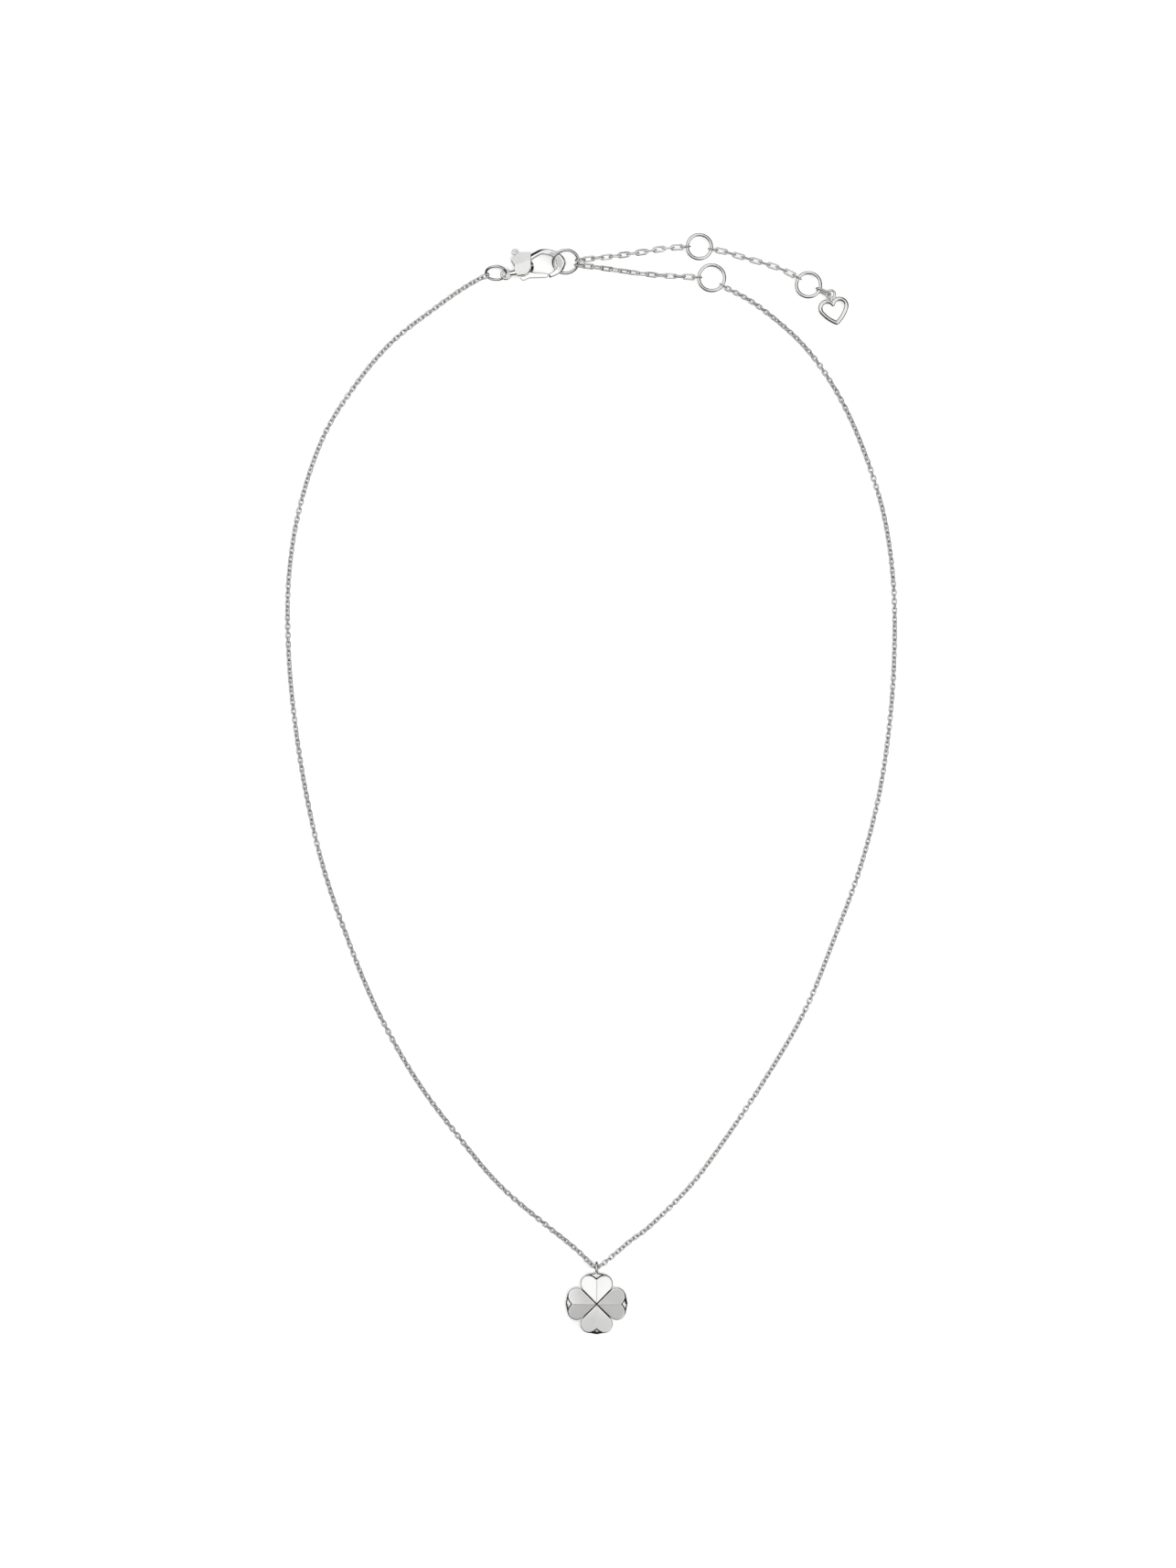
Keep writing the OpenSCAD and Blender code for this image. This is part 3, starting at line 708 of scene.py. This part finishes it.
def fine_chain(end_left, end_right):
    """Places, ways and rolls of the fine chain's links, from the left end link to the right one.

    The links stand evenly along a cubic through both routes, each a quarter turn on from the one
    before. A drift over the whole length brings the last one square to its end link. Away from
    the ends the links lean at 45 degrees instead, more or less by two slow waves.
    """
    reach = END_L / 2 - END_WIRE + LINK_L / 2 - LINK_WIRE - 0.03
    first = end_left[0] + end_left[1] * reach
    last = end_right[0] + end_right[1] * reach
    line = np.concatenate([curve(np.concatenate([LEFT_ROUTE[:-1], first[None]]), 24)[::-1],
                           curve(np.concatenate([RIGHT_ROUTE[:-1], last[None]]), 24)])
    count = int(np.ceil(length_of(line) / LINK_STEP))
    where = np.linspace(0, length_of(line), count + 1)
    number = np.arange(count + 1)
    rolls = end_left[2] + np.pi / 2 * (number + 1)
    drift = ((end_right[2] - rolls[-1]) % np.pi - np.pi / 2) * number / count
    lean = -end_left[2] % (np.pi / 2) - np.pi / 4
    apart = np.minimum(1, np.minimum(number, count - number) / LEAN_LINKS)
    waves = sum(height * np.sin(number * turn + start) for height, turn, start in LEAN_WAVES)
    rolls = rolls + drift + (lean - drift) * apart + apart * waves
    ways = at_length(line, where + 0.3) - at_length(line, where - 0.3)
    return at_length(line, where), ways, rolls


chain_silver = polished("chain_silver", 0.12, (0.9, 0.9, 0.89))
end_left = holding(CLASP_RING, 200, LEFT_ROUTE[-1], END_L, END_WIRE)
end_right = holding(RINGS[0], -35, RIGHT_ROUTE[-1], END_L, END_WIRE)
places, ways, rolls = fine_chain(end_left, end_right)
small_link = oval_link(LINK_L, LINK_W, LINK_WIRE, 12, 6)
middle = int(np.argmin(np.abs(places[:, :2] - CHAIN_MIDDLE).sum(1)))
for side, half in (("left", slice(0, middle)), ("right", slice(middle, None))):
    links = laid(small_link, places[half], ways[half], rolls[half])
    piece("cable_links_" + side, [links], chain_silver, ["chain_" + side], 80)
end_link = oval_link(END_L, END_W, END_WIRE, 40, 12)
for name, (at, way, roll) in (("end_link_left", end_left), ("end_link_right", end_right)):
    link = laid(end_link, at[None], way[None], np.array([roll]))
    piece(name + "_wire", [link], chain_silver, [name])

# The jump rings: polished round wire, bent into a circle and closed end to end, so that each
# has a fine butt joint. One joins the chain to the clasp; four carry the extender.
JOINT_GAP = 0.024
JOINTS = [("clasp_ring", CLASP_RING, 118), ("ring_first", RINGS[0], 62), ("ring_second", RINGS[1], 35),
          ("ring_third", RINGS[2], 80), ("ring_last", RINGS[3], 245)]


def jump_ring(ring, joint):
    """Round wire along a circle with a hair's breadth left open at the joint's angle.

    Both ends draw in a little over the last stretch, as cut wire does, and are closed flat.
    """
    steps = 84
    radius = (ring["outer"] - ring["wire"]) / 2
    half_gap = JOINT_GAP / 2 / radius
    end = np.array([half_gap, half_gap + 0.01])
    angle = np.concatenate([end, np.linspace(0.03, 2 * np.pi - 0.03, steps), 2 * np.pi - end[::-1]])
    wire = ring["wire"] * np.concatenate([[0.9, 0.98], np.ones(steps), [0.98, 0.9]])
    path = circle(radius, np.radians(joint) + angle)
    points, faces = swept(path, UP, wire, wire, 16, closed=False)
    return posed(points, ring["pose"]) + ring["at"], faces


for name, ring, joint in JOINTS:
    piece(name + "_wire", [jump_ring(ring, joint)], silver, [name])

# The clasp: two cast cheeks with a ridge down each, the flat hook that grows out of them, and
# the tail eye. The lever turns on a pin between the cheeks, and its gate closes on the hook.
CLASP_AT = np.array([-11.6, 86.65, 1.3])
CLASP_TURN = 11
PIN_AT = np.array([0.5, -0.4])
# A cheek's corners. Its ridge runs from corner 9 to corner 3, and it stands between two heights.
CHEEK = np.array([(-1.55, 1.25), (-0.05, 1.95), (1.8, 1.6), (1.65, 0.5), (1.35, -0.65), (0.75, -1.45),
                  (0.2, -1.65), (-0.9, -1.55), (-1.3, -1.05), (-1.2, 0.1)])
CHEEK_LOW = 0.55
CHEEK_HIGH = 1.3
CHEEK_FALL = np.tan(np.radians(5))
# Points of the hook's middle line, each with the bar's width and height there.
HOOK = np.array([(1.5, 0.85, 0.9, 1.5), (2.5, 1.25, 0.85, 1.3), (3.7, 1.52, 0.85, 1.05), (5.1, 1.1, 1, 0.72),
                 (6.15, 0.25, 1.2, 0.62), (6.52, -0.85, 1.62, 0.6), (6.04, -1.9, 1, 0.62),
                 (5.1, -2.4, 0.78, 0.8), (4.3, -2.6, 0.68, 0.9), (3.7, -2.72, 0.6, 0.9)])
# The walls between the cheeks: half their height and the radius that they leave the lever.
SPINE_HALF = 0.56
SPINE_R = 1.56
# The lever: its hub's radius, how far its gate reaches from the pin and the play to the hook's
# tip, the knob's radius and place, and half its thickness.
HUB_R = 1.45
GATE_R = 4.1
GATE_PLAY = 0.07
KNOB_R = 0.55
KNOB = np.array([-0.67, 2.33])
LEVER_HALF = 0.5
TAIL_EYE_AT = [-2.9, -1.03, 0]
TAIL_EYE_D = 1.85
TAIL_EYE_WIRE = 0.45
# Where a plate's faces turn by more degrees than the first number, their edge is broken. Where
# the finished piece's turn by more than the second, the edge stays sharp.
BROKEN_FROM = 28
SHARP_FROM = 8.5


def clasp_place(points):
    """Points of the clasp's own frame, turned and moved to where it lies."""
    return turned(points, CLASP_TURN) + CLASP_AT


def plate(outline, low, high):
    """Points of a flat plate over an outline, the lower ones first, and its side faces.

    Low and high are one height, or one for each corner.
    """
    count = len(outline)
    low = np.column_stack([outline, np.broadcast_to(low, count)])
    high = np.column_stack([outline, np.broadcast_to(high, count)])
    here = np.arange(count)
    beside = (here + 1) % count
    return np.concatenate([low, high]), np.stack([here, beside, beside + count, here + count], 1).tolist()


def goes_left(outline):
    """Whether an outline's corners go round anticlockwise."""
    x, y = outline.T
    return np.sum(x * np.roll(y, -1) - y * np.roll(x, -1)) > 0


def arc(middle, radius, start, end, count):
    """Points on a circle from one angle to another, in degrees."""
    angle = np.radians(np.linspace(start, end, count))
    return circle(radius, angle)[:, :2] + middle


def button(middle, radius, half, cut, steep=1.0, crown=0.0):
    """A disc whose faces bulge by crown, with a chamfer that falls by steep times its width."""
    flat = radius - cut
    side = half - crown - cut * steep
    shares = (0, 0.3, 0.5, 0.7, 0.85, 0.97, 1)
    top = [(0.001 + flat * share, half - crown * share * share) for share in shares]
    profile = top + [(radius - 0.01, side + 0.01 * steep), (radius, side - 0.02)]
    return lathed(middle, profile + [(out, -height) for out, height in profile[::-1]])


def flat_bar(path, width, height, cut_out, cut_in, ridge=0.5, fall_out=0.0, fall_in=0.0):
    """A bar along a flat path. Its top is two planes that fall from a ridge, and its back the same.

    Each long corner has a 45 degree chamfer. Every size is one number, or one for each point of
    the path. The outer side is left of the way along the path, ridge is how far across the top
    the ridge lies from the inner side, as a share, and the two falls are slopes.
    """
    soft = 0.03
    step = np.gradient(path, axis=0)
    left = unit(np.stack([-step[:, 1], step[:, 0], 0 * step[:, 0]], 1))
    side = np.broadcast_to(width, len(path)) / 2
    top = np.broadcast_to(height, len(path)) / 2
    outer = side - cut_out
    inner = cut_in - side
    crest = inner + ridge * (outer - inner)
    high_out = top - (outer - crest) * fall_out
    high_in = top - (crest - inner) * fall_in
    corners = [(side, high_out - cut_out - soft), (side, high_out - cut_out), (outer, high_out),
               (crest + soft, top - soft * fall_out), (crest, top), (crest - soft, top - soft * fall_in),
               (inner, high_in), (-side, high_in - cut_in), (-side, high_in - cut_in - soft)]
    corners = corners + [(out, -high) for out, high in corners[::-1]]
    rings = np.stack([path + left * out[:, None] + [0, 0, 1] * high[:, None] for out, high in corners], 1)
    rings = drawn_shut(rings, path)
    return rings.reshape(-1, 3), grid_faces(len(rings), len(corners), round_cols=True)


def with_modifiers(obj):
    """A new mesh of an object as its modifiers leave it."""
    return bpy.data.meshes.new_from_object(obj.evaluated_get(bpy.context.evaluated_depsgraph_get()))


def clasp_part(name, plates, bars, nodes, body, bevel, steps):
    """One piece from plates and bars, which stands for the named nodes.

    The plates' edges are broken by the bevel's width, in so many steps.
    """
    points, faces = joined(plates)
    work = new_object(name + "_plates", clasp_place(points), faces)
    edge = work.modifiers.new("broken_edge", "BEVEL")
    edge.width = bevel * MM
    edge.segments = steps
    edge.limit_method = "ANGLE"
    edge.angle_limit = np.radians(BROKEN_FROM)
    done = with_modifiers(work)
    bpy.data.objects.remove(work)
    points = np.empty(len(done.vertices) * 3)
    done.vertices.foreach_get("co", points)
    broken = points.reshape(-1, 3) / MM, [list(face.vertices) for face in done.polygons]
    bars = [(clasp_place(skin), skin_faces) for skin, skin_faces in bars]
    points, faces = joined([broken] + [(skin, outward(skin, skin_faces)) for skin, skin_faces in bars])
    obj = new_object(name, points, faces)
    smooth(obj.data, SHARP_FROM, silver)
    even = obj.modifiers.new("even_facets", "WEIGHTED_NORMAL")
    even.keep_sharp = True
    done = with_modifiers(obj)
    obj.modifiers.clear()
    obj.data = done
    stand_for(obj, body, nodes)


def cheek(up):
    """One cheek, from the lever's side to two facets that fall from a ridge between corners."""
    ridge = unit(CHEEK[3] - CHEEK[9])
    off = np.abs((CHEEK - CHEEK[9]) @ [-ridge[1], ridge[0]])
    points, sides = plate(CHEEK, CHEEK_LOW, CHEEK_HIGH - off * CHEEK_FALL)
    count = len(CHEEK)
    facets = [[count + corner for corner in facet] for facet in ((3, 2, 1, 0, 9), (9, 8, 7, 6, 5, 4, 3))]
    faces = sides + [list(range(count))[::-1]] + facets
    if not up:
        points = points * [1, 1, -1]
    if goes_left(CHEEK) != up:
        faces = [face[::-1] for face in faces]
    return points, faces


def block(outline, low, high):
    """A straight block over an outline, its faces turned outwards."""
    points, sides = plate(outline, low, high)
    count = len(outline)
    faces = sides + [list(range(count))[::-1], list(range(count, 2 * count))]
    return points, faces if goes_left(outline) else [face[::-1] for face in faces]


def hook():
    """The hook: a flat bar along a cubic through its middle line's points.

    It ends just outside the circle that the gate's tip goes round the pin, and thins towards that
    end. What would still lie nearer to the pin than the tip and its play is pushed out to there.
    """
    plan = curve(HOOK[:, :3], 14)
    height = curve(HOOK[:, [0, 1, 3]], 14)[:, 2]
    kept = np.hypot(*(plan[:, :2] - PIN_AT).T) > GATE_R + 0.12
    kept[:len(kept) // 2] = True
    along = np.linspace(0, 1, len(plan))[kept]
    path = (plan * [1, 1, 0])[kept]
    to_end = length_of(path) - lengths_along(path)
    height = np.minimum(height[kept], 0.4 + 2 * to_end)
    cut_out = np.interp(along, [0, 0.18, 0.27, 0.43, 0.5, 0.6, 0.7, 1],
                        [0.42, 0.4, 0.1, 0.1, 0.26, 0.32, 0.1, 0.1])
    ridge = np.interp(along, [0, 0.29, 0.34, 0.62, 0.7, 1], [0.2, 0.2, 0.7, 0.78, 0.85, 0.85])
    fall_in = np.interp(along, [0.63, 0.7], [0, 0.17])
    points, faces = flat_bar(path, plan[kept, 2], height, cut_out, 0.1, ridge, 0.2, fall_in)
    from_pin = points[:, :2] - PIN_AT
    push = np.maximum(1, (GATE_R + GATE_PLAY) / np.hypot(*from_pin.T))
    near_gate = (points[:, 0] > 3) & (points[:, 1] < -1.5)
    points[:, :2] = PIN_AT + from_pin * np.where(near_gate, push, 1)[:, None]
    return points, faces


def tail():
    """The neck that grows out of the cheeks, and the round eye on it."""
    way = np.linspace(-2.35, -1.0, 10)
    path = np.stack([way, 0 * way - 1.0, 0 * way], 1)
    neck = flat_bar(path, np.linspace(0.7, 0.88, 10), np.linspace(0.6, 0.86, 10), 0.22, 0.22)
    points, faces = round_ring(TAIL_EYE_D, TAIL_EYE_WIRE, 60, 48)
    return [neck, (points + TAIL_EYE_AT, faces)]


top_spine = np.concatenate([arc(PIN_AT, SPINE_R, 97, 44, 9), [(1.66, 0.75), (1.76, 1.56), (0.22, 1.86)]])
tail_spine = np.concatenate([
    arc(PIN_AT, SPINE_R, 215, 155, 9), [(-1.26, 0.42), (-1.17, 0.1), (-1.26, -1.04), (-0.98, -1.4)]])
spines = [block(outline, -SPINE_HALF, SPINE_HALF) for outline in (top_spine, tail_spine)]
clasp_part("clasp_casting", [cheek(True), cheek(False), *spines], [hook(), *tail()], ["clasp_body"],
           "root", 0.09, 12)

# The lever: a hub with chamfered faces, a slim knob to push and a gate bar, one piece.
lever_edge = np.concatenate([arc(KNOB, KNOB_R - 0.15, -28, 244, 26),
                             arc(PIN_AT, HUB_R - 0.35, 135.5, 460.5, 44)])
gate_edge = np.concatenate([
    [(-0.6, -2.15), (-0.52, -2.42), (-0.35, -2.58), (-0.05, -2.6), (0.8, -2.38), (3.78, -2.86)],
    arc(PIN_AT, GATE_R, -35.5, -27.3, 4), [(1.65, -1.64), (0.6, -1.2), (-0.3, -1.3)]])
gate_high = LEVER_HALF - 0.15 * (gate_edge[:, 1] + 2.45 + 0.11 * gate_edge[:, 0])
lever_blocks = [block(lever_edge, -LEVER_HALF, LEVER_HALF), block(gate_edge, -gate_high, gate_high)]
lever_discs = [button(PIN_AT, HUB_R, LEVER_HALF + 0.01, 0.5, 0.9),
               button(KNOB, KNOB_R, LEVER_HALF + 0.01, 0.07, 1, 0.04)]
clasp_part("clasp_gate", lever_blocks, lever_discs, ["clasp_lever"], "lever", 0.075, 1)
for slot in bpy.data.objects["clasp_pin"].material_slots:
    slot.material = silver

# The extender: three runs of long oval links between the rings. The link at each end is a
# little wider, and holds a ring upright. Each link turns about a quarter against the one before.
LONG_L = 2.28
LONG_W = 1.04
LONG_WIRE = 0.26
HOLD_L = 1.9
HOLD_W = 1.28
# How much closer than fully drawn out each link lies to the next, and how far along the run's
# line the links on the rings point.
EASE = 0.17
AIM = 1.2
# Each run's node, the rings that it joins, the angles at which it holds them, and its route.
RUNS = [
    ("extender_first", (0, 1), (178, -28), [
        (14.8, 84.85, 0.56), (11.4, 85.05, 0.52), (8.2, 85.35, 0.52), (5.6, 85.7, 0.52), (2.6, 86.15, 0.55),
        (-0.2, 86.5, 0.68)]),
    ("extender_second", (1, 2), (-3, 180), [
        (-0.1, 87.75, 1.08), (1.9, 88, 0.86), (4, 88.25, 0.66), (6.4, 88.6, 0.54), (9, 89, 0.52),
        (11.4, 89.4, 0.52), (13.6, 89.65, 0.56)]),
    ("extender_third", (2, 3), (-12, 260), [
        (22.2, 89, 0.56), (24.4, 88.35, 0.52), (26.8, 87.65, 0.52), (29.2, 86.95, 0.52), (31.2, 86.3, 0.54),
        (32.9, 85.55, 0.6)])]


def run_of_links(rings, holds, route):
    """The links of one run as the solids have them, evenly along the route's curve.

    The first and the last hold the rings. Between them the roll goes on by a quarter turn for
    each link, and by an equal share of what is left over at the last.
    """
    (start, start_wire), (end, end_wire) = (on_ring(RINGS[ring], hold) for ring, hold in zip(rings, holds))
    line = curve(np.array([start, *route, end]), 8)
    total = length_of(line)
    reach = [HOLD_L / 2 - LONG_WIRE - RINGS[ring]["wire"] / 2 - CLEAR for ring in rings]
    step = (HOLD_L + LONG_L) / 2 - 2 * LONG_WIRE - EASE
    free = total - sum(reach) - 2 * step
    count = int(np.ceil(free / (LONG_L - 2 * LONG_WIRE - EASE)))
    start_way = unit(at_length(line, [AIM])[0] - start)
    end_way = unit(end - at_length(line, [total - AIM])[0])
    start_roll = roll_to(start_way, start_wire)
    end_roll = roll_to(end_way, end_wire)
    turns = (count + 2) * np.pi / 2
    extra = end_roll - start_roll - turns
    extra -= np.pi * np.round(extra / np.pi)
    number = np.arange(count + 1)
    where = reach[0] + step + number * free / count
    ways = at_length(line, where + LONG_L / 4) - at_length(line, where - LONG_L / 4)
    rolls = start_roll + (turns + extra) * (number + 1) / (count + 2)
    long_links = laid(oval_link(LONG_L, LONG_W, LONG_WIRE, 36, 10), at_length(line, where), ways, rolls)
    end_places = np.array([start + start_way * reach[0], end - end_way * reach[1]])
    end_links = laid(oval_link(HOLD_L, HOLD_W, LONG_WIRE, 36, 10), end_places,
                     np.array([start_way, end_way]), np.array([start_roll, end_roll]))
    return [long_links, end_links]


for name, rings, holds, route in RUNS:
    piece(name + "_links", run_of_links(rings, holds, route), chain_silver, [name])

# The charm: a small cast open heart with a thick round rim and its own eye, hung on the last
# ring by an oblong jump ring that stands on its long edge.
HEART_AT = np.array([41.2, 76.62, 0.335])
HEART_TURN = 12.5
HEART_LIFT = 4.2
# The rim's middle line on the right: the lobe's circle, the long side's radius and the point.
HEART_LOBE = np.array([1.06, 3.2])
HEART_LOBE_R = 1.14
SIDE_R = 6.0
HEART_POINT = np.array([0, 0.48])
RIM = 0.7
EYE_AT = 5.35
EYE_D = 1.75
EYE_WIRE = 0.42
OBLONG_AT = [38.8, 82.25, 0.86]
OBLONG_POSE = (-25, 78)
OBLONG_L = 2.95
OBLONG_W = 1.75
OBLONG_WIRE = 0.38


def heart_side(lobe_steps, side_steps):
    """Middle line of the right side of the rim: the lobe's arc, then the long arc to the point."""
    to_point = HEART_POINT - HEART_LOBE
    span = SIDE_R - HEART_LOBE_R
    along = (SIDE_R ** 2 - to_point @ to_point - span ** 2) / (2 * span)
    joint = np.arctan2(to_point[1], to_point[0]) + np.arccos(along / np.hypot(*to_point))
    middle = HEART_LOBE - span * np.array([np.cos(joint), np.sin(joint)])
    end = np.arctan2(HEART_POINT[1] - middle[1], HEART_POINT[0] - middle[0])
    top = np.pi - np.arccos(HEART_LOBE[0] / HEART_LOBE_R)
    lobe = circle(HEART_LOBE_R, np.linspace(top, joint, lobe_steps, endpoint=False))
    side = circle(SIDE_R, np.linspace(joint, end, side_steps))
    return np.concatenate([lobe + [*HEART_LOBE, 0], side + [*middle, 0]])


def ball(at, size, steps=20):
    """A round ball."""
    down = np.linspace(0.001, np.pi - 0.001, steps)
    around = np.arange(2 * steps) * np.pi / steps
    down, around = np.meshgrid(down, around, indexing="ij")
    points = np.stack([np.sin(down) * np.cos(around), np.sin(down) * np.sin(around), np.cos(down)], -1)
    return points.reshape(-1, 3) * size / 2 + at, grid_faces(steps, 2 * steps, round_cols=True)


def heart():
    """The skins of the charm: two sides, a ball where they meet at each end, a stem and the eye.

    They are tipped up at the eye, turned and moved to where the charm lies.
    """
    side = heart_side(40, 26)
    notch = HEART_LOBE[1] + np.sqrt(HEART_LOBE_R ** 2 - HEART_LOBE[0] ** 2)
    stem = np.linspace(notch, EYE_AT - (EYE_D - EYE_WIRE) / 2, 8)
    eye_points, eye_faces = round_ring(EYE_D, EYE_WIRE, 56, 14)
    skins = [swept(side, UP, RIM, RIM, 24, closed=False),
             swept(side * [-1, 1, 1], UP, RIM, RIM, 24, closed=False),
             ball((0, HEART_POINT[1], 0), RIM), ball((0, notch, 0), RIM),
             swept(np.stack([0 * stem, stem, 0 * stem], 1), UP, EYE_WIRE, EYE_WIRE, 14, closed=False),
             (eye_points + [0, EYE_AT, 0], eye_faces)]
    return [(posed(points, (HEART_TURN, HEART_LIFT)) + HEART_AT, faces) for points, faces in skins]


def oblong_ring():
    """The oblong jump ring, standing on its long edge."""
    points, faces = oval_link(OBLONG_L, OBLONG_W, OBLONG_WIRE, 56, 14)
    return posed(points, OBLONG_POSE) + OBLONG_AT, faces


piece("heart_casting", heart(), silver, ["heart_charm"])
piece("oblong_ring", [oblong_ring()], silver, ["charm_link"])
